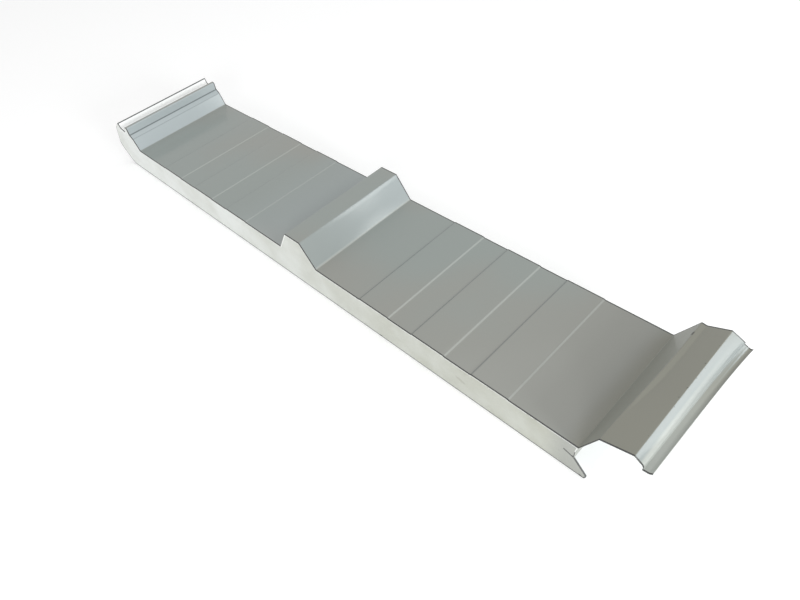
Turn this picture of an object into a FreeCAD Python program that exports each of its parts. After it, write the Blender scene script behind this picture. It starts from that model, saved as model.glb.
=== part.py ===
"""Insulated roof sandwich panel with a snap-over side lap, a short length of it.

Two roll-formed steel skins are bonded to a rigid foam core. The panel has one
cross-section along its whole length, so every piece is a section drawn in the
XZ plane and extruded along Y.

Frame, in millimetres: X across the panel, Y along its ribs, Z up. The origin is on
the underside, below the middle rib's centre line, halfway along the length.
"""

import FreeCAD, Part
import math
import os
import re

import Sketcher

Vector = FreeCAD.Vector

doc = FreeCAD.newDocument("SandwichPanel")

# ---------------------------------------------------------------- driving dimensions

SIZES = [
    # alias, value in mm, what it is
    ("cover_width", 1000, "pitch at which panels are laid side by side"),
    ("strip_length", 190, "length of this piece along its ribs"),
    ("panel_thickness", 50, "over both skins, in the flat pans"),
    ("upper_gauge", 0.6, "sheet thickness of the upper skin"),
    ("lower_gauge", 0.5, "sheet thickness of the lower skin"),
    ("bend_radius", 2, "bends of both skins, on the outer face"),
    ("rib_height", 36, "middle rib above the pans"),
    ("rib_crest", 32, "middle rib, width of its flat top"),
    ("rib_base", 80, "middle rib, width at the pans"),
    ("stiffener_width", 51, "flat top of a shallow pan stiffener"),
    ("stiffener_pitch", 94, "between the stiffeners of a pan"),
    ("stiffener_rise", 1, "stiffener above the pan"),
    ("stiffener_flank", 2, "run of a stiffener's sloping edge"),
    ("lap_base", 83, "side-lap rib, width at the pans when two panels are joined"),
    ("ridge_setback", 17, "from the left pan fold to the ridge's catch face"),
    ("ridge_crest", 7, "flat top of the narrow ridge"),
    ("ridge_height", 40.5, "ridge and upstand above the pans"),
    ("catch_height", 27, "top of the catch step above the pans"),
    ("catch_width", 7.5, "run of the catch step"),
    ("catch_fall", 6, "fall of the catch step"),
    ("ledge_run", 7.5, "run of the ridge's flank down to the screw ledge"),
    ("ledge_width", 14.5, "screw ledge between ridge and upstand"),
    ("ledge_height", 28, "low side of the screw ledge above the pans"),
    ("ledge_rise", 3, "rise of the screw ledge towards the upstand"),
    ("upstand_lean", 4, "run of the upstand at the panel's left edge"),
    ("cap_run", 19, "run of the cap's inner flank"),
    ("cap_height", 38.5, "rise of the cap's inner flank"),
    ("cap_crest_run", 35.3, "run of the cap's top, which springs up until it is snapped down"),
    ("cap_crest_rise", 10.6, "rise of the cap's top"),
    ("snap_run", 14.7, "run of the cap's outer flank"),
    ("snap_fall", 8.1, "fall of the cap's outer flank"),
    ("snap_radius", 5, "round at the foot of the outer flank"),
    ("bead_run", 1.7, "how far the snap bead turns back under the cap"),
    ("bead_fall", 5.7, "fall of the snap bead"),
    ("bead_radius", 0.9, "bend of the snap bead, on the outer face"),
    ("lip_run", 4.2, "level part of the drip lip"),
    ("lip_rise", 0.5, "rise of the level part of the drip lip"),
    ("drip_run", 7.5, "upturned edge of the drip lip, run"),
    ("drip_rise", 3, "upturned edge of the drip lip, rise"),
    ("waist_setback", 2.2, "foam's end face behind the right pan fold, halfway down"),
    ("waist_height", 38.5, "height of that place above the underside"),
    ("notch_setback", 3, "root of the nose pocket behind the right pan fold"),
    ("notch_height", 27, "root of the nose pocket above the underside"),
    ("hem_run", 12.3, "lower skin's hem in the foam, run"),
    ("hem_rise", 4.5, "lower skin's hem in the foam, rise"),
    ("toe_reach", 14.5, "toe below the pocket, beyond the right pan fold"),
    ("toe_height", 6, "toe above the underside"),
    ("heel_setback", 2.5, "lower corner of the toe behind its point"),
    ("joint_gap", 1.5, "between a nose and the next panel's pocket, measured level"),
    ("shoulder_height", 25, "nose's upper corner above the pans"),
    ("shoulder_radius", 12, "round of the nose's upper corner"),
    ("nose_radius", 15, "round of the nose"),
    ("nose_heel_radius", 20, "round of the nose's lower corner"),
    ("wrap_height", 45, "top edge of the lower skin on the nose, above the underside"),
]
STIFFENERS_PER_PAN = 3

sizes = doc.addObject("Spreadsheet::Sheet", "Sizes")
for row, (alias, value, meaning) in enumerate(SIZES, start=1):
    sizes.set(f"A{row}", meaning)
    sizes.set(f"B{row}", str(value))
    sizes.setAlias(f"B{row}", alias)
doc.recompute()

ALIASES = re.compile(r"\b(" + "|".join(alias for alias, _, _ in SIZES) + r")\b")


def bound(text):
    """The expression with every size pointing to its cell in the sheet."""
    return ALIASES.sub(r"Sizes.\1", text)


def number(text):
    """What the expression comes to with the sheet's present values."""
    return float(sizes.evalExpression(bound(text)))


# ------------------------------------------------------------------- section drawing

SECTION_PLANE = FreeCAD.Placement(Vector(0, 0, 0), FreeCAD.Rotation(Vector(1, 0, 0), 90))


def rounded_corner(before, corner, after, radius):
    """Centre, first and last tangent point of the arc that rounds a corner."""
    inward, outward = (before - corner).normalize(), (after - corner).normalize()
    half = inward.getAngle(outward) / 2
    centre = corner + (inward + outward).normalize() * (radius / math.sin(half))
    reach = radius / math.tan(half)
    return centre, corner + inward * reach, corner + outward * reach


def draw_section(name, corners, closed=False):
    """A sketch of straight runs through the corners, each (x, z, radius or None).

    Every number is an expression on the sheet. The first place that uses it gets a named
    dimension, and the later ones are tied to that place as level, upright or equal.
    """
    sketch = doc.addObject("Sketcher::SketchObject", name)
    sketch.Placement = SECTION_PLANE
    count = len(corners)
    places = [Vector(number(x), number(z), 0) for x, z, _ in corners]
    starts, ends, arcs = list(places), list(places), {}
    for i, (_, _, radius) in enumerate(corners):
        if radius:
            arcs[i] = rounded_corner(places[i - 1], places[i], places[(i + 1) % count], number(radius))
            _, ends[i], starts[i] = arcs[i]

    runs = count if closed else count - 1
    lines = [Part.LineSegment(starts[i], ends[(i + 1) % count]) for i in range(runs)]
    sketch.addGeometry(lines, False)

    links, dimensions, first_use = [], [], {}

    def dimension(label, text, kind, tie, *element):
        if (kind, text) in first_use:
            links.append(Sketcher.Constraint(tie, *first_use[kind, text], *element))
        else:
            first_use[kind, text] = element
            origin = () if kind == "Radius" else (-1, 1)
            dimensions.append((label, text, (kind, *origin, *element)))

    for i, (x, z, radius) in enumerate(corners):
        before = (i - 1) % count
        if radius:
            centre, first, last = arcs[i]
            left_turn = (first - centre).cross(last - centre).z > 0
            from_point, to_point = (first, last) if left_turn else (last, first)
            angles = [math.atan2(p.y - centre.y, p.x - centre.x) for p in (from_point, to_point)]
            circle = Part.Circle(centre, Vector(0, 0, 1), number(radius))
            arc = sketch.addGeometry(Part.ArcOfCircle(circle, *angles), False)
            point = sketch.addGeometry(Part.Point(places[i]), True)
            enter, leave = (1, 2) if left_turn else (2, 1)
            links += [
                Sketcher.Constraint("Tangent", before, 2, arc, enter),
                Sketcher.Constraint("Tangent", arc, leave, i, 1),
                Sketcher.Constraint("PointOnObject", point, 1, before),
                Sketcher.Constraint("PointOnObject", point, 1, i),
            ]
            dimension(f"radius_{i}", radius, "Radius", "Equal", arc)
            anchor = (point, 1)
        else:
            if closed or 0 < i < count - 1:
                links.append(Sketcher.Constraint("Coincident", before, 2, i, 1))
            anchor = (i, 1) if i < runs else (before, 2)
        dimension(f"x_{i}", x, "DistanceX", "Vertical", *anchor)
        dimension(f"z_{i}", z, "DistanceY", "Horizontal", *anchor)

    sketch.addConstraint(links)
    first = sketch.ConstraintCount
    sketch.addConstraint([Sketcher.Constraint(*kind, number(text)) for _, text, kind in dimensions])
    for index, (label, text, _) in enumerate(dimensions, start=first):
        sketch.renameConstraint(index, label)
        sketch.setExpression(f"Constraints.{label}", bound(text))
    return sketch


def extrude(name, section):
    """The section drawn out along the ribs, half of the length each way."""
    solid = doc.addObject("Part::Extrusion", name)
    solid.Base = section
    solid.DirMode = "Custom"
    solid.Dir = Vector(0, 1, 0)
    solid.Solid = True
    solid.Symmetric = True
    solid.setExpression("LengthFwd", bound("strip_length"))
    return solid


def sheet_metal(name, line, gauge):
    """A skin: the line of its outer face, thickened towards the foam and extruded."""
    section = doc.addObject("Part::Offset2D", name + "_section")
    section.Source = line
    section.Mode = "Skin"
    section.Join = "Intersection"
    section.Fill = True
    section.setExpression("Value", bound(gauge))
    return extrude(name, section)


# --------------------------------------------------------------------- upper skin line

left_fold = "(-(cover_width - lap_base) / 2)"
right_fold = "((cover_width - lap_base) / 2)"
pans = "panel_thickness"


def above_pans(height):
    return f"{pans} + {height}"


def left_of_fold(*runs):
    """A place to the left of the left pan fold, by the sum of the runs."""
    return left_fold + " - " + " - ".join(runs)


def right_of_fold(*runs):
    """A place to the right of the right pan fold, by the sum of the runs."""
    return right_fold + " + " + " + ".join(runs)


def side_ridge():
    """Upstand, screw ledge, ridge and catch step, which the next panel's cap covers."""
    to_ledge = ("ridge_setback", "ridge_crest", "ledge_run")
    return [
        (left_of_fold(*to_ledge, "ledge_width", "upstand_lean"), above_pans("ridge_height"), None),
        (left_of_fold(*to_ledge, "ledge_width"), above_pans("ledge_height + ledge_rise"), "bend_radius"),
        (left_of_fold(*to_ledge), above_pans("ledge_height"), "bend_radius"),
        (left_of_fold("ridge_setback", "ridge_crest"), above_pans("ridge_height"), "bend_radius"),
        (left_of_fold("ridge_setback"), above_pans("ridge_height"), "bend_radius"),
        (left_of_fold("ridge_setback"), above_pans("catch_height"), "bend_radius"),
        (left_of_fold("ridge_setback") + " + catch_width",
         above_pans("catch_height - catch_fall"), "bend_radius"),
        (left_fold, pans, "bend_radius"),
    ]


def pan_stiffeners(side):
    """The shallow stiffeners of one pan, side -1 or 1 of the middle rib."""
    corners = []
    for index in range(STIFFENERS_PER_PAN):
        steps = index - (STIFFENERS_PER_PAN - 1) / 2
        middle = f"{side} * (cover_width - lap_base + rib_base) / 4 + {steps} * stiffener_pitch"
        half_top = "stiffener_width / 2"
        half_foot = "(stiffener_width / 2 + stiffener_flank)"
        corners += [
            (f"{middle} - {half_foot}", pans, "bend_radius"),
            (f"{middle} - {half_top}", above_pans("stiffener_rise"), "bend_radius"),
            (f"{middle} + {half_top}", above_pans("stiffener_rise"), "bend_radius"),
            (f"{middle} + {half_foot}", pans, "bend_radius"),
        ]
    return corners


def middle_rib():
    return [
        ("-rib_base / 2", pans, "bend_radius"),
        ("-rib_crest / 2", above_pans("rib_height"), "bend_radius"),
        ("rib_crest / 2", above_pans("rib_height"), "bend_radius"),
        ("rib_base / 2", pans, "bend_radius"),
    ]


def side_cap():
    """The hollow cap that snaps over the next panel's ridge."""
    to_flank = ("cap_run", "cap_crest_run", "snap_run")
    crest = "cap_height + cap_crest_rise"
    return [
        (right_of_fold("cap_run"), above_pans("cap_height"), "bend_radius"),
        (right_of_fold("cap_run", "cap_crest_run"), above_pans(crest), "bend_radius"),
        (right_of_fold(*to_flank), above_pans(crest + " - snap_fall"), "snap_radius"),
        (right_of_fold(*to_flank) + " - bead_run",
         above_pans(crest + " - snap_fall - bead_fall"), "bead_radius"),
        (right_of_fold(*to_flank) + " - bead_run + lip_run",
         above_pans(crest + " - snap_fall - bead_fall + lip_rise"), "bend_radius"),
        (right_of_fold(*to_flank) + " - bead_run + lip_run + drip_run",
         above_pans(crest + " - snap_fall - bead_fall + lip_rise + drip_rise"), None),
    ]


bonded_line = side_ridge() + pan_stiffeners(-1) + middle_rib() + pan_stiffeners(1)
upper_line = draw_section(
    "upper_skin_line", bonded_line + [(right_fold, pans, "bend_radius")] + side_cap())
upper_skin = sheet_metal("upper_steel_skin", upper_line, "-upper_gauge")

# --------------------------------------------------------------------- lower skin line

# The nose fills the next panel's pocket: its upper face is parallel to the cap's inner
# flank and its lower face to the pocket's sloping floor, both one joint gap away.
flank_slope = "(cap_run / cap_height)"
floor_slope = "((notch_setback + toe_reach) / (notch_height - toe_height))"
nose_height = (f"(({pans}) * {flank_slope} - notch_setback + notch_height * {floor_slope})"
               f" / ({flank_slope} + {floor_slope})")


def nose_face(height):
    """Where the nose's upper face is at that height above the underside."""
    return f"{left_fold} - lap_base + joint_gap + ({height} - {pans}) * {flank_slope}"


nose_point = (nose_face(nose_height), nose_height, "nose_radius")
nose_heel = (f"{left_fold} - lap_base - notch_setback + joint_gap + notch_height * {floor_slope}",
             "0", "nose_heel_radius")
toe = [
    (right_of_fold("toe_reach") + " - heel_setback", "0", "bend_radius"),
    (right_of_fold("toe_reach"), "toe_height", "bend_radius"),
]
notch = (right_fold + " - notch_setback", "notch_height", "bend_radius")
hem = (right_fold + " - notch_setback - hem_run", "notch_height + hem_rise", None)

lower_line = draw_section(
    "lower_skin_line",
    [(nose_face("wrap_height"), "wrap_height", None), nose_point, nose_heel, *toe, notch, hem])
lower_skin = sheet_metal("lower_steel_skin", lower_line, "lower_gauge")

# --------------------------------------------------------------------------- foam core

# The foam fills everything between the skins, so its section is drawn to their outer
# lines, closed by its own end face and the bare part of the nose, and the skins are
# then cut out of it.
shoulder_level = above_pans("shoulder_height")
core_line = draw_section(
    "core_line",
    bonded_line
    + [
        (right_fold, pans, None),
        (right_fold + " - waist_setback", "waist_height", None),
        (notch[0], notch[1], None),
        *reversed(toe),
        nose_heel,
        nose_point,
        (nose_face("(" + shoulder_level + ")"), shoulder_level, "shoulder_radius"),
    ],
    closed=True)
core_blank = extrude("core_blank", core_line)

skins = doc.addObject("Part::MultiFuse", "both_skins")
skins.Shapes = [upper_skin, lower_skin]
foam_core = doc.addObject("Part::Cut", "foam_core")
foam_core.Base = core_blank
foam_core.Tool = skins

# ------------------------------------------------------------------------------ checks

doc.recompute()
for item in doc.Objects:
    faults = [state for state in item.State if state in ("Invalid", "Error")]
    if faults:
        raise RuntimeError(f"{item.Label}: {faults}")

PIECES = [upper_skin, foam_core, lower_skin]
for piece in PIECES:
    shape = piece.Shape
    if shape.isNull() or not shape.isValid() or len(shape.Solids) != 1:
        raise RuntimeError(f"{piece.Label}: its shape is not one valid solid")

os.makedirs("parts", exist_ok=True)
for piece in PIECES:
    box = piece.Shape.BoundBox
    print(f"{piece.Label}: {piece.Shape.Volume / 1000:.1f} cm3, x {box.XMin:.1f} to {box.XMax:.1f},"
          f" z {box.ZMin:.1f} to {box.ZMax:.1f}")
    piece.Shape.exportStep(f"parts/{piece.Label}.step")
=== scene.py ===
"""Looks of a short length of insulated roof panel: coated steel skins on rigid foam.

Everything is in metres, in the panel's own frame: X across it, Y along its ribs, Z up,
with the origin on the underside below the middle rib.
"""

import math
import random

import bmesh
import bpy
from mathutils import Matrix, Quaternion, Vector, kdtree, noise
from mathutils.geometry import delaunay_2d_cdt


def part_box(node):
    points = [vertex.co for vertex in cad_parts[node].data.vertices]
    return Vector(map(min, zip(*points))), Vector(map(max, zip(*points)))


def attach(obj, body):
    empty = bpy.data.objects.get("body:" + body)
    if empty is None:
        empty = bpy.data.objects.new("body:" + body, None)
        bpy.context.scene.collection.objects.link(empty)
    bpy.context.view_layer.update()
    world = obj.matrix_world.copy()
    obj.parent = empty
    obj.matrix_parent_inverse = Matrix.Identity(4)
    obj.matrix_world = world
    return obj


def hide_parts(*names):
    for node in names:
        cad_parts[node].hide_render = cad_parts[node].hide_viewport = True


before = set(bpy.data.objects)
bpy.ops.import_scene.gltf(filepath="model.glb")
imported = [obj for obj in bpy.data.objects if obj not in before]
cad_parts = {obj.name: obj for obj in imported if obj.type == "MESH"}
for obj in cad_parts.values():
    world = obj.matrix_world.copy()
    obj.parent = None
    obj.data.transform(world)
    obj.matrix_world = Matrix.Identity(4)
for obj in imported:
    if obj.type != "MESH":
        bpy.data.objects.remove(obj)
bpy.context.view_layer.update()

# ----------------------------------------------------------------- 1. liner skin, below
# The lower sheet comes off its coil first and runs flat along the bottom of the press.
# It is thin galvanised steel with an off-white coat, and its long edges are rolled round
# the nose on one side and back under the joint's pocket on the other.

MM = 0.001
WELD = 0.002 * MM                           # corners nearer than this are one corner
liner_low, liner_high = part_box("lower_steel_skin")
END = liner_high.y                          # the two cut faces lie this far from the middle
LINER_COAT = (0.76, 0.77, 0.765)
LINER_SHADE = (0.69, 0.70, 0.695)
ZINC_EDGE_AND_SHADOW_LINE = (0.085, 0.088, 0.086)           # cut edge of galvanised steel, dulled; also painted shadow lines along cut edges


def steps(first, last, pitch):
    """Evenly spaced places strictly between two places, about a pitch apart."""
    count = max(1, round((last - first) / pitch))
    return [first + (last - first) * i / count for i in range(1, count)]


def fine_form(node, across, along):
    """A CAD piece's form, cut along planes at X = across and Y = along.

    Its flat faces are made whole first, so that the cuts leave a regular net to bend.
    """
    form = bmesh.new()
    form.from_mesh(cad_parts[node].data)
    bmesh.ops.remove_doubles(form, verts=form.verts, dist=WELD)
    bmesh.ops.dissolve_limit(form, angle_limit=math.radians(0.5), verts=form.verts, edges=form.edges)
    for axis, places in ((1, along), (0, across)):
        for place in places:
            point, normal = Vector((0, 0, 0)), Vector((0, 0, 0))
            point[axis], normal[axis] = place, 1
            whole = [*form.verts, *form.edges, *form.faces]
            bmesh.ops.bisect_plane(form, geom=whole, plane_co=point, plane_no=normal, dist=WELD)
    return form


def finished_piece(name, form, node, finish, crisp_angle):
    """The form as a piece that stands for a CAD node, smooth up to the crisp angle."""
    mesh = bpy.data.meshes.new(name)
    form.to_mesh(mesh)
    form.free()
    if "custom_normal" in mesh.attributes:
        mesh.attributes.remove(mesh.attributes["custom_normal"])
    mesh.polygons.foreach_set("use_smooth", [True] * len(mesh.polygons))
    mesh.set_sharp_from_angle(angle=math.radians(crisp_angle))
    mesh.materials.append(finish.material)
    piece = bpy.data.objects.new(name, mesh)
    bpy.context.scene.collection.objects.link(piece)
    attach(piece, "root")
    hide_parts(node)


class Value:
    """A node's output that can stand in a sum, so that 1 - mask adds its Math node."""

    def __init__(self, finish, socket):
        self.finish, self.socket = finish, socket

    def _with(self, operation, *others):
        return self.finish.node("ShaderNodeMath", {"operation": operation}, [self, *others])

    def __add__(self, other):
        return self._with("ADD", other)

    def __mul__(self, other):
        return self._with("MULTIPLY", other)

    def __sub__(self, other):
        return self._with("SUBTRACT", other)

    def __rsub__(self, other):
        return self.finish.node("ShaderNodeMath", {"operation": "SUBTRACT"}, [other, self])

    def __abs__(self):
        return self._with("ABSOLUTE")

    __radd__, __rmul__ = __add__, __mul__

    def ramp(self, start, end):
        """0 up to start and 1 from end on, smooth between them; start may be above end."""
        return self.finish.node(
            "ShaderNodeMapRange", {"interpolation_type": "SMOOTHSTEP", "clamp": True},
            {"Value": self, "From Min": start, "From Max": end})

    def line(self, centre, half, fade):
        """1 up to half a line's width from its centre, and 0 from the fade on."""
        return 1 - abs(self - centre).ramp(half, fade)


class Finish:
    """A material in the making: its node tree, its shader and the place on the piece."""

    def __init__(self, name, roughness, coat=0.0, coat_roughness=0.1):
        self.material = bpy.data.materials.new(name)
        self.material.use_nodes = True
        self.tree = self.material.node_tree
        self.shader = self.tree.nodes["Principled BSDF"]
        self.shader.inputs["Roughness"].default_value = roughness
        self.shader.inputs["Coat Weight"].default_value = coat
        self.shader.inputs["Coat Roughness"].default_value = coat_roughness
        self.place = self.node("ShaderNodeTexCoord", out="Object")
        self.x, self.y, self.z = (self.part(self.place, axis) for axis in "XYZ")

    def node(self, kind, settings=None, inputs=(), out=0):
        """Adds a node: its settings come first, then the values or links of its sockets."""
        node = self.tree.nodes.new(kind)
        for name, setting in (settings or {}).items():
            setattr(node, name, setting)
        for name, value in (inputs.items() if isinstance(inputs, dict) else enumerate(inputs)):
            self.link(value, node.inputs[name])
        return Value(self, node.outputs[out])

    def link(self, value, socket):
        if isinstance(value, Value):
            self.tree.links.new(value.socket, socket)
        elif socket.type == "RGBA":
            socket.default_value = (*value, 1)
        else:
            socket.default_value = value

    def part(self, vector, axis):
        return self.node("ShaderNodeSeparateXYZ", inputs=[vector], out=axis)

    def facing(self, axis):
        """How far the surface faces along an axis, from -1 to 1."""
        return self.part(self.node("ShaderNodeTexCoord", out="Normal"), axis)

    def mix(self, mask, below, above):
        """The colour above where the mask is 1, and the colour below where it is 0."""
        return self.node("ShaderNodeMix", {"data_type": "RGBA"}, {0: mask, 6: below, 7: above}, out=2)

    def stretched(self, *scale):
        """The place on the piece, scaled along each axis, to draw a texture out."""
        return self.node("ShaderNodeVectorMath", {"operation": "MULTIPLY"}, [self.place, scale])

    def noise(self, scale, detail=3.0, roughness=0.5, at=None):
        sockets = {"Vector": at or self.place, "Scale": scale, "Detail": detail, "Roughness": roughness}
        return self.node("ShaderNodeTexNoise", inputs=sockets)

    def to_shader(self, **values):
        for name, value in values.items():
            self.link(value, self.shader.inputs[name.replace("_", " ").title()])

    def relief(self, height, depth):
        """Bump, with the height's full range standing for that depth in metres."""
        bump = self.node("ShaderNodeBump", inputs={"Strength": 1.0, "Distance": depth, "Height": height})
        self.link(bump, self.shader.inputs["Normal"])


def cut_and_shadow_line(finish):
    """Mask of the bare cut end faces, and of a dark band beside them: a painted shadow line along the
    cut.
    """
    ragged = finish.noise(700.0, detail=2.0)
    return (abs(finish.y) + 0.5 * MM * ragged).ramp(END - 1.4 * MM, END - 1.1 * MM)


def liner_finish():
    finish = Finish("liner_coat", roughness=0.42, coat=0.3, coat_roughness=0.25)
    mottle = finish.noise(6.0, detail=2.0)
    peel = finish.noise(900.0, detail=1.0)
    rubbed_and_highlight = finish.noise(1.0, detail=4.0, at=finish.stretched(500, 4, 500))
    coat = finish.mix(mottle.ramp(0.35, 0.7), LINER_COAT, LINER_SHADE)
    # Dark cut edges, with a painted shadow line beside them.
    finish.to_shader(base_color=finish.mix(cut_and_shadow_line(finish), coat, ZINC_EDGE_AND_SHADOW_LINE),
                     roughness=0.36 + 0.12 * rubbed_and_highlight)
    finish.relief(peel + 0.6 * rubbed_and_highlight, 0.02 * MM)
    return finish


liner_cuts = steps(liner_low.x, liner_high.x, 20 * MM)
liner_form = fine_form("lower_steel_skin", liner_cuts, steps(-END, END, 10 * MM))
finished_piece("liner_skin", liner_form, "lower_steel_skin",
               liner_finish(), crisp_angle=40)

# ------------------------------------------------------------------------ 2. foam core
# Liquid polyurethane is poured between the moving skins and sets there, so the foam has
# a smooth moulded surface at the nose and a dense, pale layer on the steel. A saw cuts
# the panel to length, and opens fine cells and small blowholes on the two cut faces.

foam_low, foam_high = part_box("foam_core")
FOAM_COOL = (0.775, 0.80, 0.785)            # at the nose side
FOAM_WARM = (0.455, 0.465, 0.405)           # at the pocket side
FOAM_TOE = (0.39, 0.40, 0.37)
FOAM_PALE = (0.82, 0.84, 0.81)
FOAM_HOLE = (0.34, 0.34, 0.29)
SAW_NET = 1.5 * MM                          # pitch of the net on a sawn face
RIM_STEP = 0.5 * MM                         # pitch at which a sawn face's rim is traced
BLADE_DEPTH = 0.07 * MM                     # marks of the blade's teeth
BLADE_PITCH = math.tau * 1.9 * MM           # from one mark to the next, about 12 mm
WANDER_DEPTH = 0.12 * MM                    # slow wander of the blade
CELL_DEPTH = 0.18 * MM
BLOWHOLE_FROM = 0.52                        # a blowhole opens where the noise is above this
BLOWHOLE_DEPTH = 3.2 * MM                   # for each unit of noise above it
SKIN_LAYER = 1.6 * MM                       # dense foam on the steel
SCUFF = Vector((300 * MM, 25 * MM))         # a scuffed spot on the near cut face, X and Z
SCUFF_HALF = Vector((9 * MM, 3 * MM))
PAN_FROM, PAN_TO = 45 * MM, 452 * MM        # the flat of a pan, from the middle outwards
PAN_SAG = 0.22 * MM                         # how far it sags or swells at most
SAG_FADE = 25 * MM                          # the folds beside it hold it true up to here
SWELL_ACROSS, SWELL_ALONG = 95 * MM, 150 * MM
FOLLOWS_FROM, FOLLOWS_TO = 35 * MM, 49 * MM     # heights where the foam comes to follow it


def pan_settling(x, y):
    """How far the upper skin, and the foam under it, sag between the folds of the pans."""
    edge = min(abs(x) - PAN_FROM, PAN_TO - abs(x))
    if edge <= 0:
        return 0.0
    swell = noise.noise(Vector((x / SWELL_ACROSS, y / SWELL_ALONG, 3.7)))
    return PAN_SAG * swell * min(1.0, edge / SAG_FADE)


def sawn_depth(x, z, end):
    """How deep the saw and the open cells go below the cut face at that place."""
    place = Vector((x, z, end))
    chatter = noise.noise(Vector((9 * x, 9 * z, end)) * 6)
    blade = 0.5 + 0.5 * math.sin(math.tau * (z + 0.35 * x) / BLADE_PITCH + 2.5 * chatter)
    wander = 0.5 + 0.5 * noise.noise(place * 45)
    cells = 0.5 + 0.5 * noise.noise(place * 800)
    hole = max(0.0, noise.noise(Vector((x, z, end + 5)) * 330) - BLOWHOLE_FROM)
    return BLADE_DEPTH * blade + WANDER_DEPTH * wander + CELL_DEPTH * cells + BLOWHOLE_DEPTH * hole


def rim_of(form, end):
    """The corners round the opening at Y = end, in order."""
    edges = {edge for edge in form.edges
             if edge.is_boundary and all(abs(v.co.y - end) < WELD for v in edge.verts)}
    edge = min(edges, key=lambda e: e.index)
    rim = [edge.verts[0]]
    while edge.other_vert(rim[-1]) is not rim[0]:
        rim.append(edge.other_vert(rim[-1]))
        edge = next(e for e in rim[-1].link_edges if e in edges and e is not edge)
    return rim


def traced(outline):
    """A tree of places along a closed outline, to find how far a place lies from it."""
    places = []
    for a, b in zip(outline, outline[1:] + outline[:1]):
        count = max(1, math.ceil((b - a).length / RIM_STEP))
        places += [a.lerp(b, i / count) for i in range(count)]
    tree = kdtree.KDTree(len(places))
    for i, place in enumerate(places):
        tree.insert((place.x, place.y, 0), i)
    tree.balance()
    return tree


def heights_at(x, outline):
    """The heights at which a closed outline crosses the upright line at x."""
    sides = zip(outline, outline[1:] + outline[:1])
    return [a.y + (b.y - a.y) * (x - a.x) / (b.x - a.x) for a, b in sides if (a.x > x) != (b.x > x)]


def encloses(heights, z):
    """Whether z lies inside, with an odd number of those heights above it."""
    return sum(height > z for height in heights) % 2 == 1


def net_inside(outline, rim_tree, chance):
    """Scattered places of a net within the outline, kept clear of the outline itself."""
    inner = []
    for column, x in enumerate(steps(foam_low.x, foam_high.x, SAW_NET)):
        heights = heights_at(x, outline)
        for z in steps(foam_low.z, foam_high.z, SAW_NET):
            place = Vector((x + chance.uniform(-0.3, 0.3) * SAW_NET,
                            z + (column % 2) * SAW_NET / 2 + chance.uniform(-0.3, 0.3) * SAW_NET))
            clear = rim_tree.find((place.x, place.y, 0))[2] > 0.6 * SAW_NET
            if clear and encloses(heights, place.y):
                inner.append(place)
    return inner


def saw_face(form, end, rim_distance, chance):
    """Puts a fine, rough net of triangles in the place of the flat face at Y = end."""
    flat = [face for face in form.faces if all(abs(v.co.y - end) < WELD for v in face.verts)]
    bmesh.ops.delete(form, geom=flat, context="FACES")
    form.edges.index_update()
    rim = rim_of(form, end)
    outline = [Vector((vert.co.x, vert.co.z)) for vert in rim]
    rim_tree = traced(outline)
    inner = net_inside(outline, rim_tree, chance)

    loop = list(range(len(rim)))
    points, _, triangles, origins, _, _ = delaunay_2d_cdt(outline + inner, [], [loop], 0, WELD, True)
    made = {}
    for triangle in triangles:
        middle = sum((points[i] for i in triangle), Vector((0, 0))) / 3
        if not encloses(heights_at(middle.x, outline), middle.y):
            continue
        for i in triangle:
            if i in made:
                continue
            on_rim = [origin for origin in origins[i] if origin < len(rim)]
            if on_rim:
                made[i] = rim[on_rim[0]]
                continue
            x, z = points[i]
            inward = sawn_depth(x, z, end) * math.copysign(1, -end)
            made[i] = form.verts.new((x, end + inward, z))
            made[i][rim_distance] = rim_tree.find((x, z, 0))[2]
        corners = [made[i] for i in triangle]
        form.faces.new(corners if end < 0 else corners[::-1])


def scuffed(finish, grain):
    """Mask of the scuffed spot, an oval with a grainy edge that slopes a little."""
    off_x = (finish.x - SCUFF.x) * (1 / SCUFF_HALF.x)
    off_z = (finish.z - SCUFF.y + 0.22 * (finish.x - SCUFF.x)) * (1 / SCUFF_HALF.y)
    oval = (1 - (off_x * off_x + off_z * off_z + 0.8 * (grain - 0.5))).ramp(0.0, 0.6)
    return oval * finish.y.ramp(-END + 3 * MM, -END + 2 * MM)


def foam_finish():
    finish = Finish("rigid_foam", roughness=0.92)
    depth_in = finish.node("ShaderNodeAttribute", {"attribute_name": "rim_distance"}, out="Fac")
    cells = finish.node("ShaderNodeTexVoronoi", {"feature": "F1"},
                        {"Vector": finish.place, "Scale": 1300.0}, out="Distance")
    grain = finish.noise(380.0, detail=4.0, roughness=0.65)
    clouds = finish.noise(16.0, detail=3.0)
    sawn = abs(finish.facing("Y")).ramp(0.3, 0.6)

    across = finish.x.ramp(foam_low.x, foam_high.x)
    foam = finish.mix(across * 0.7 + 0.3 * clouds.ramp(0.3, 0.7), FOAM_COOL, FOAM_WARM)
    foam = finish.mix(finish.x.ramp(foam_high.x - 60 * MM, foam_high.x - 25 * MM), foam, FOAM_TOE)
    dense = (1 - depth_in.ramp(0.6 * SKIN_LAYER, SKIN_LAYER)) * sawn * finish.z.ramp(38 * MM, 41 * MM)
    foam = finish.mix(dense * 0.8, foam, FOAM_PALE)
    foam = finish.mix(grain.ramp(0.60, 0.72) * sawn * 0.35, foam, FOAM_HOLE)

    # A painted shadow line: a dark band along the rim of the cut faces, on their lower part and fainter
    # round the nose.
    lined = finish.z.ramp(40 * MM, 37 * MM) + 0.6 * finish.x.ramp(-500 * MM, -505 * MM)
    painted_shadow_line = (1 - depth_in.ramp(0.6 * MM, 1.1 * MM)) * sawn * lined
    foam = finish.mix(painted_shadow_line, foam, ZINC_EDGE_AND_SHADOW_LINE)
    finish.to_shader(base_color=finish.mix(scuffed(finish, grain) * 0.45, foam, FOAM_HOLE),
                     roughness=0.75 + 0.2 * sawn)
    finish.relief((cells * 0.5 + grain) * (0.25 + 0.75 * sawn), 0.45 * MM)
    return finish


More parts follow.
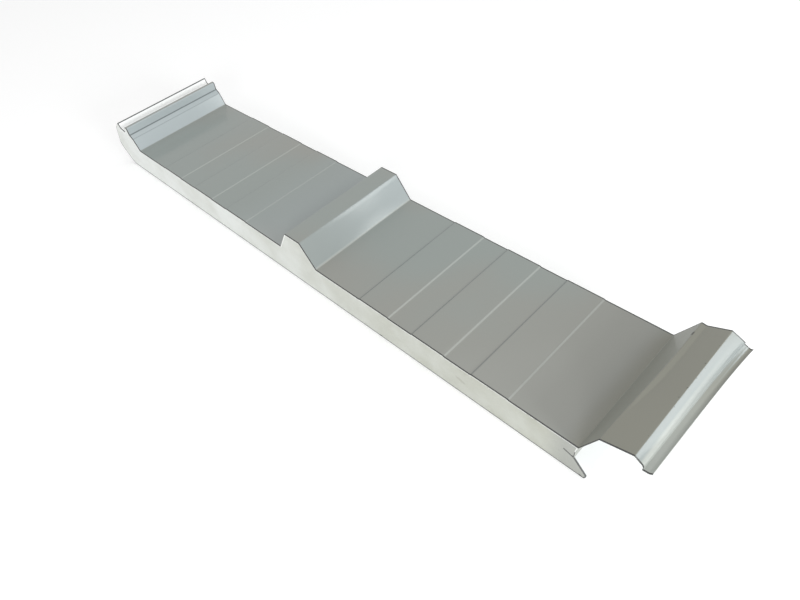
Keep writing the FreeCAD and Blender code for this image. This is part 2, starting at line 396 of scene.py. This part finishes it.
foam_cuts = steps(foam_low.x, foam_high.x, 10 * MM)
foam_form = fine_form("foam_core", foam_cuts, steps(-END, END, 10 * MM))
rim_distance = foam_form.verts.layers.float.new("rim_distance")
for vert in foam_form.verts:
    share = min(1.0, max(0.0, (vert.co.z - FOLLOWS_FROM) / (FOLLOWS_TO - FOLLOWS_FROM)))
    vert.co.z += share * pan_settling(vert.co.x, vert.co.y)
chance = random.Random(7)
for end in (-END, END):
    saw_face(foam_form, end, rim_distance, chance)
finished_piece("foam_body", foam_form, "foam_core", foam_finish(), crisp_angle=50)

# ----------------------------------------------------------------- 3. weather skin, above
# The upper sheet is galvanised steel with a satin grey coat, rolled to its section and
# pressed onto the rising foam. Its cap is free, to spring over the next panel. Cutting
# let this cap open a little towards the far end, with a crease beside its inner fold.

PAINT_GREY = (0.262, 0.292, 0.275)
PAINT_WARM = (0.275, 0.28, 0.255)
PAINT_OLIVE = (0.235, 0.235, 0.195)         # darker and yellower, over the cap and the pan beside its fold
PAINTED_SHADE = (0.235, 0.26, 0.25)           # painted shade on faces that lean to the cap side
PAINTED_LIGHT = (0.385, 0.43, 0.44)            # painted light: a paler, bluer tone on the same faces, beside the middle rib and on the cap's inner flank
PAINTED_HIGHLIGHT = (0.42, 0.44, 0.41)             # painted highlight on the stiffeners' cap-side flanks, and painted light on the lip
# painted shade in the catch step's folds and on the stiffeners' flanks that face away
PAINTED_GROOVE_SHADE = (0.10, 0.12, 0.125)
BACKING_COAT = (0.40, 0.42, 0.40)
PAINTED_LEDGE_HIGHLIGHT = (0.95, 0.96, 0.955)             # painted highlight over the screw ledge
CHIP = (0.05, 0.05, 0.045)
CUT_EDGE_AND_SHADOW_LINE = (0.04, 0.042, 0.04)              # bare cut edge, zinc and paint dulled by the shears, and the painted shadow line beside it

skin_low, skin_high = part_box("upper_steel_skin")
LIP_EDGE = skin_high.x
LEFT_FOLD, RIGHT_FOLD = -458.5 * MM, 458.5 * MM     # where the pans meet the side ribs
PAN_TOP = 50 * MM
CREST_LEFT, CREST_LEFT_Z = RIGHT_FOLD + 19 * MM, PAN_TOP + 38.5 * MM
CREST_RIGHT = CREST_LEFT + 35.3 * MM
SNAP_FOOT = CREST_RIGHT + 13 * MM           # near the foot of the outer flank
LIP_FOOT = 530.5 * MM                       # where the lip turns up
BEAD_TOP, BEAD_HEIGHT = 92 * MM, 7 * MM     # the bead's lift comes in down from its top

FLARE = 4.5 * MM                            # how far the inner fold leans out at the far end
CREASE = 3 * MM                             # from the inner fold to the crease, near end
CREASE_FAR = 6.5 * MM                       # the same at the far end
CREASE_LIFT = 1.0 * MM                      # how far the crease has raised the inner fold
CREASE_DROP = 0.45 * MM                     # and how far the crest beyond it has sunk
SNAP_IN, LIP_IN = 3 * MM, 2 * MM            # flank's foot and lip, inwards at the near end
SNAP_OUT = 2 * MM                           # flank's foot, outwards at the far end
BEAD_LIFT, LIP_TURN = 4.5 * MM, 1.8 * MM    # bead up and lip down, at the far end
LIP_CURL = 3.6 * MM                         # hollow of the lip's upturned edge

STIFFENER_FOOT, STIFFENER_TOP = 50.3 * MM, 51.2 * MM
CATCH_GROOVE, CATCH_SEAM = 76.8 * MM, 70.8 * MM     # heights of the catch step's two folds
LEDGE_LEFT, LEDGE_RIGHT = -508.6 * MM, -489.5 * MM
CREASE_STREAK = Vector((480 * MM, 75.5 * MM, 87.2 * MM))    # a dark streak at the cap's far crease


def smooth(start, end, value):
    """0 up to start and 1 from end on, smooth between them."""
    share = min(1.0, max(0.0, (value - start) / (end - start)))
    return share * share * (3 - 2 * share)


def sprung_cap(x, y, z):
    """Where a point of the cap has sprung to, in the XZ plane."""
    along = (y + END) / (2 * END)
    lean = FLARE * smooth(-END, 0.5 * END, y)
    creased = smooth(-0.7 * END, 0.1 * END, y)
    if z < CREST_LEFT_Z + 0.5 * MM and x < CREST_LEFT + 1.2 * MM:
        share = (z - PAN_TOP) / (CREST_LEFT_Z - PAN_TOP)
        return x + lean * share, z + CREASE_LIFT * creased * share
    if x < CREST_RIGHT:
        past = max(0.0, x - CREST_LEFT)
        run = CREST_RIGHT - CREST_LEFT
        inner = max(0.0, 1 - past / CREASE)
        outer = min(1.0, (run - past) / (run - CREASE))
        widen = (CREASE_FAR - CREASE) * creased * min(past / CREASE, outer)
        lift = (CREASE_LIFT * inner - CREASE_DROP * (1 - inner) * outer) * creased
        return x + lean * max(inner, outer) + widen, z + lift
    opened = 0.5 * along + 0.5 * along ** 5
    foot = min(1.0, (x - CREST_RIGHT) / (SNAP_FOOT - CREST_RIGHT))
    lip = max(0.0, (x - SNAP_FOOT) / (LIP_EDGE - SNAP_FOOT))
    near = -SNAP_IN * foot - LIP_IN * lip
    far = SNAP_OUT * foot * (1 - lip)
    bead = min(1.0, max(0.0, (BEAD_TOP - z) / BEAD_HEIGHT)) * (1 - lip)
    curl = max(0.0, (x - LIP_FOOT) / (LIP_EDGE - LIP_FOOT))
    turned = BEAD_LIFT * bead * along - LIP_TURN * lip * along - LIP_CURL * curl * (1 - curl)
    return x + near * (1 - opened) + far * opened, z + turned


def painted_light_and_shade(finish, paint, sideways):
    """The paint with painted shade and painted light on the faces that lean to the cap side."""
    rib_side = finish.x.ramp(200 * MM, 100 * MM)
    rib_face = rib_side * finish.x.ramp(-200 * MM, -100 * MM) * (0.1 + 0.5 * finish.y.ramp(-END, END))
    light_share = finish.x.ramp(-300 * MM, -440 * MM) + 0.25 * (1 - rib_side) + rib_face
    beside_rib = finish.x.ramp(-190 * MM, -60 * MM) * finish.x.ramp(-10 * MM, -35 * MM)
    steep = sideways.ramp(0.25, 0.5) * finish.z.ramp(STIFFENER_FOOT, STIFFENER_TOP)
    # Painted light on the pan beside the middle rib, against the rib's shade.
    paint = finish.mix(0.4 * beside_rib, paint, PAINTED_LIGHT)
    # Painted shade on the steep faces towards the cap side, then painted light on them, strongest on the
    # left rib and towards the middle rib's far end.
    paint = finish.mix(steep, paint, PAINTED_SHADE)
    paint = finish.mix(steep * light_share, paint, PAINTED_LIGHT)
    return paint


def stiffener_lines(finish, paint, sideways):
    """The paint with a painted highlight on the flank of each stiffener that faces the cap side, and
    painted shade on the other.
    """
    in_pans = finish.z.ramp(53 * MM, 51 * MM) * finish.x.line(0, 445 * MM, 450 * MM)
    right_pan = finish.x.ramp(0, 10 * MM)
    rubbed_and_highlight = sideways.ramp(0.15, 0.3) * in_pans * (0.25 + 0.15 * right_pan)
    painted_edge_shade = sideways.ramp(-0.15, -0.3) * in_pans * (0.05 + 0.3 * right_pan)
    return finish.mix(painted_edge_shade, finish.mix(rubbed_and_highlight, paint, PAINTED_HIGHLIGHT), PAINTED_GROOVE_SHADE)


def side_ribs(finish, paint):
    """The paint with painted shade in the catch step's folds, painted light on the lip and a painted
    highlight on the screw ledge.
    """
    # Painted shade along the two folds of the catch step.
    folds = finish.z.line(CATCH_GROOVE, 0.5 * MM, 1.2 * MM)
    folds = folds + 0.4 * finish.z.line(CATCH_SEAM, 0.3 * MM, 0.9 * MM)
    on_ridge = finish.x.ramp(-478 * MM, -477 * MM) * finish.x.ramp(-464 * MM, -466 * MM)
    paint = finish.mix(folds * on_ridge * 0.8, paint, PAINTED_GROOVE_SHADE)
    # Painted light on the lip, fading out towards the far end.
    lip = finish.x.ramp(518 * MM, 521 * MM) * (1 - 0.95 * finish.y.ramp(-END, END))
    paint = finish.mix(lip, paint, PAINTED_HIGHLIGHT)
    # Painted highlight over the screw ledge.
    ledge = finish.x.ramp(LEDGE_RIGHT, LEDGE_RIGHT - MM) * finish.x.ramp(LEDGE_LEFT, LEDGE_LEFT + MM)
    return finish.mix(ledge, paint, PAINTED_LEDGE_HIGHLIGHT)


def chipped(finish, upward):
    """Mask of the chips along the cap's outer fold and of a dark streak at its crease."""
    speck = finish.noise(420.0, detail=1.0)
    fold = finish.x.line(CREST_RIGHT, 0.5 * MM, 2.5 * MM)
    streak = finish.y.line(CREASE_STREAK.y, 1.5 * MM, 4 * MM) * finish.z.ramp(CREASE_STREAK.z, CREASE_STREAK.z + 0.8 * MM)
    streak = streak * finish.x.ramp(CREASE_STREAK.x, CREASE_STREAK.x + MM)
    streak = streak * finish.x.ramp(CREASE_STREAK.x + 3.4 * MM, CREASE_STREAK.x + 2.6 * MM)
    return fold * speck.ramp(0.72, 0.75) * upward.ramp(0.2, 0.4) + streak


def slit_edges(finish):
    """Mask of the sheet's two long edges, slit bare on the coil line."""
    left = finish.x.ramp(skin_low.x + 1.5 * MM, skin_low.x + 1.1 * MM)
    return left + finish.x.ramp(LIP_EDGE - 0.6 * MM, LIP_EDGE - 0.2 * MM)


def paint_finish():
    finish = Finish("weather_coat", roughness=0.4, coat=1.0, coat_roughness=0.12)
    finish.shader.inputs["Specular IOR Level"].default_value = 0.3
    mottle = finish.noise(4.0, detail=2.0)
    peel = finish.noise(1100.0, detail=1.0)
    dust = finish.noise(170.0, detail=4.0, roughness=0.6)
    rolled = finish.noise(1.0, detail=3.0, at=finish.stretched(600, 3, 600))
    sideways, upward = finish.facing("X"), finish.facing("Z")
    leaning = sideways.ramp(-0.3, -0.6)

    paint = finish.mix(mottle.ramp(0.4, 0.65), PAINT_GREY, PAINT_WARM)
    paint = finish.mix(finish.x.ramp(RIGHT_FOLD - 25 * MM, RIGHT_FOLD + 5 * MM), paint, PAINT_OLIVE)
    paint = painted_light_and_shade(finish, paint, sideways)
    paint = stiffener_lines(finish, paint, sideways)
    # Painted light on the faces that lean away from the cap side, such as the cap's inner flank.
    paint = finish.mix(0.15 * leaning, paint, PAINTED_LIGHT)
    paint = side_ribs(finish, paint)
    paint = finish.mix(upward.ramp(-0.3, -0.4), paint, BACKING_COAT)
    paint = finish.mix(chipped(finish, upward) * 0.8, paint, CHIP)
    paint = finish.mix(slit_edges(finish), paint, ZINC_EDGE_AND_SHADOW_LINE)
    # Dark cut edges, with a painted shadow line beside them.
    finish.to_shader(base_color=finish.mix(cut_and_shadow_line(finish), paint, CUT_EDGE_AND_SHADOW_LINE),
                     coat_weight=1 - 0.85 * leaning,
                     roughness=0.42 + 0.12 * dust + 0.06 * rolled)
    finish.relief(peel * 0.6 + rolled + 0.3 * dust, 0.02 * MM)
    return finish


paint_cuts = steps(LEFT_FOLD, RIGHT_FOLD, 10 * MM)
paint_cuts += [CREST_LEFT + CREASE + offset for offset in (-0.5 * MM, 0, 0.5 * MM)]
paint_cuts += steps(LIP_FOOT, LIP_EDGE, 1.2 * MM)
weather_form = fine_form("upper_steel_skin", paint_cuts, steps(-END, END, 5 * MM))
for vert in weather_form.verts:
    x, y, z = vert.co
    if x > RIGHT_FOLD:
        vert.co.x, vert.co.z = sprung_cap(x, y, z)
    elif z < PAN_TOP + 1.5 * MM:
        vert.co.z += pan_settling(x, y)
finished_piece("weather_skin", weather_form, "upper_steel_skin",
               paint_finish(), crisp_angle=32)

# ------------------------------------------------------------------- 4. studio and camera
# The panel lies on a pale, faintly glowing floor under an even white sky. Two soft lights
# on the cap side and a long strip behind it shape the folds; two weaker ones fill the rest.

FLOOR_HALF = 12.0
FLOOR_WHITE = (0.96, 0.96, 0.96)
CAMERA_PLACE, CAMERA_AIM = (0.6023, -0.3998, 0.6323), (0.1716, -0.0620, 0.0500)
CAMERA_ROLL = math.radians(-10.1)
FLANK_LIGHT_ROLL = math.radians(21.6)       # lays the strip along the cap's outer flank


def set_up(thing, place, aim, roll=0.0):
    """Puts a lamp or the camera at a place, aimed and rolled about its line of sight."""
    thing.location = place
    thing.rotation_mode = "QUATERNION"
    towards = (Vector(aim) - thing.location).to_track_quat("-Z", "Y")
    thing.rotation_quaternion = towards @ Quaternion((0, 0, 1), roll)
    bpy.context.scene.collection.objects.link(thing)


def soft_light(name, place, aim, size, watts, colour=(1, 1, 1), roll=0.0):
    lamp = bpy.data.lights.new(name, "AREA")
    lamp.shape = "RECTANGLE"
    lamp.size, lamp.size_y = size
    lamp.energy, lamp.color = watts, colour
    set_up(bpy.data.objects.new(name, lamp), place, aim, roll)


floor_mesh = bpy.data.meshes.new("floor")
floor_corners = [(x * FLOOR_HALF, y * FLOOR_HALF, 0) for x, y in ((-1, -1), (1, -1), (1, 1), (-1, 1))]
floor_mesh.from_pydata(floor_corners, [], [(0, 1, 2, 3)])
floor_finish = Finish("studio_floor", roughness=0.9)
floor_finish.to_shader(base_color=FLOOR_WHITE, emission_color=(1, 1, 1), emission_strength=0.12)
floor_mesh.materials.append(floor_finish.material)
floor = bpy.data.objects.new("floor", floor_mesh)
bpy.context.scene.collection.objects.link(floor)

soft_light("right_light", (2.6, -0.3, 0.8), (0.1, 0, 0.05), (0.8, 0.6), 27, (0.95, 0.99, 1.0))
soft_light("front_right_light", (1.9, -2.0, 1.25), (0.2, 0, 0.05), (0.9, 0.7), 17)
soft_light("flank_light", (2.97, 2.39, 2.07), (0.5, 0, 0.09), (1.7, 0.5), 13, (0.96, 1, 0.98),
           FLANK_LIGHT_ROLL)
soft_light("front_light", (-0.3, -2.6, 0.6), (0, 0, 0.05), (2.2, 0.9), 6)
soft_light("overhead_light", (-0.4, 0.3, 2.6), (0, 0, 0.05), (2.0, 2.0), 5)

world = bpy.data.worlds.new("studio")
world.use_nodes = True
sky = world.node_tree.nodes["Background"]
sky.inputs["Color"].default_value = (1, 1, 1, 1)
sky.inputs["Strength"].default_value = 0.735
scene = bpy.context.scene
scene.world = world
scene.view_settings.view_transform = "Standard"

lens = bpy.data.cameras.new("camera")
lens.lens, lens.sensor_width = 28.04, 36.0
lens.clip_start = 0.01
scene.camera = bpy.data.objects.new("camera", lens)
set_up(scene.camera, CAMERA_PLACE, CAMERA_AIM, CAMERA_ROLL)
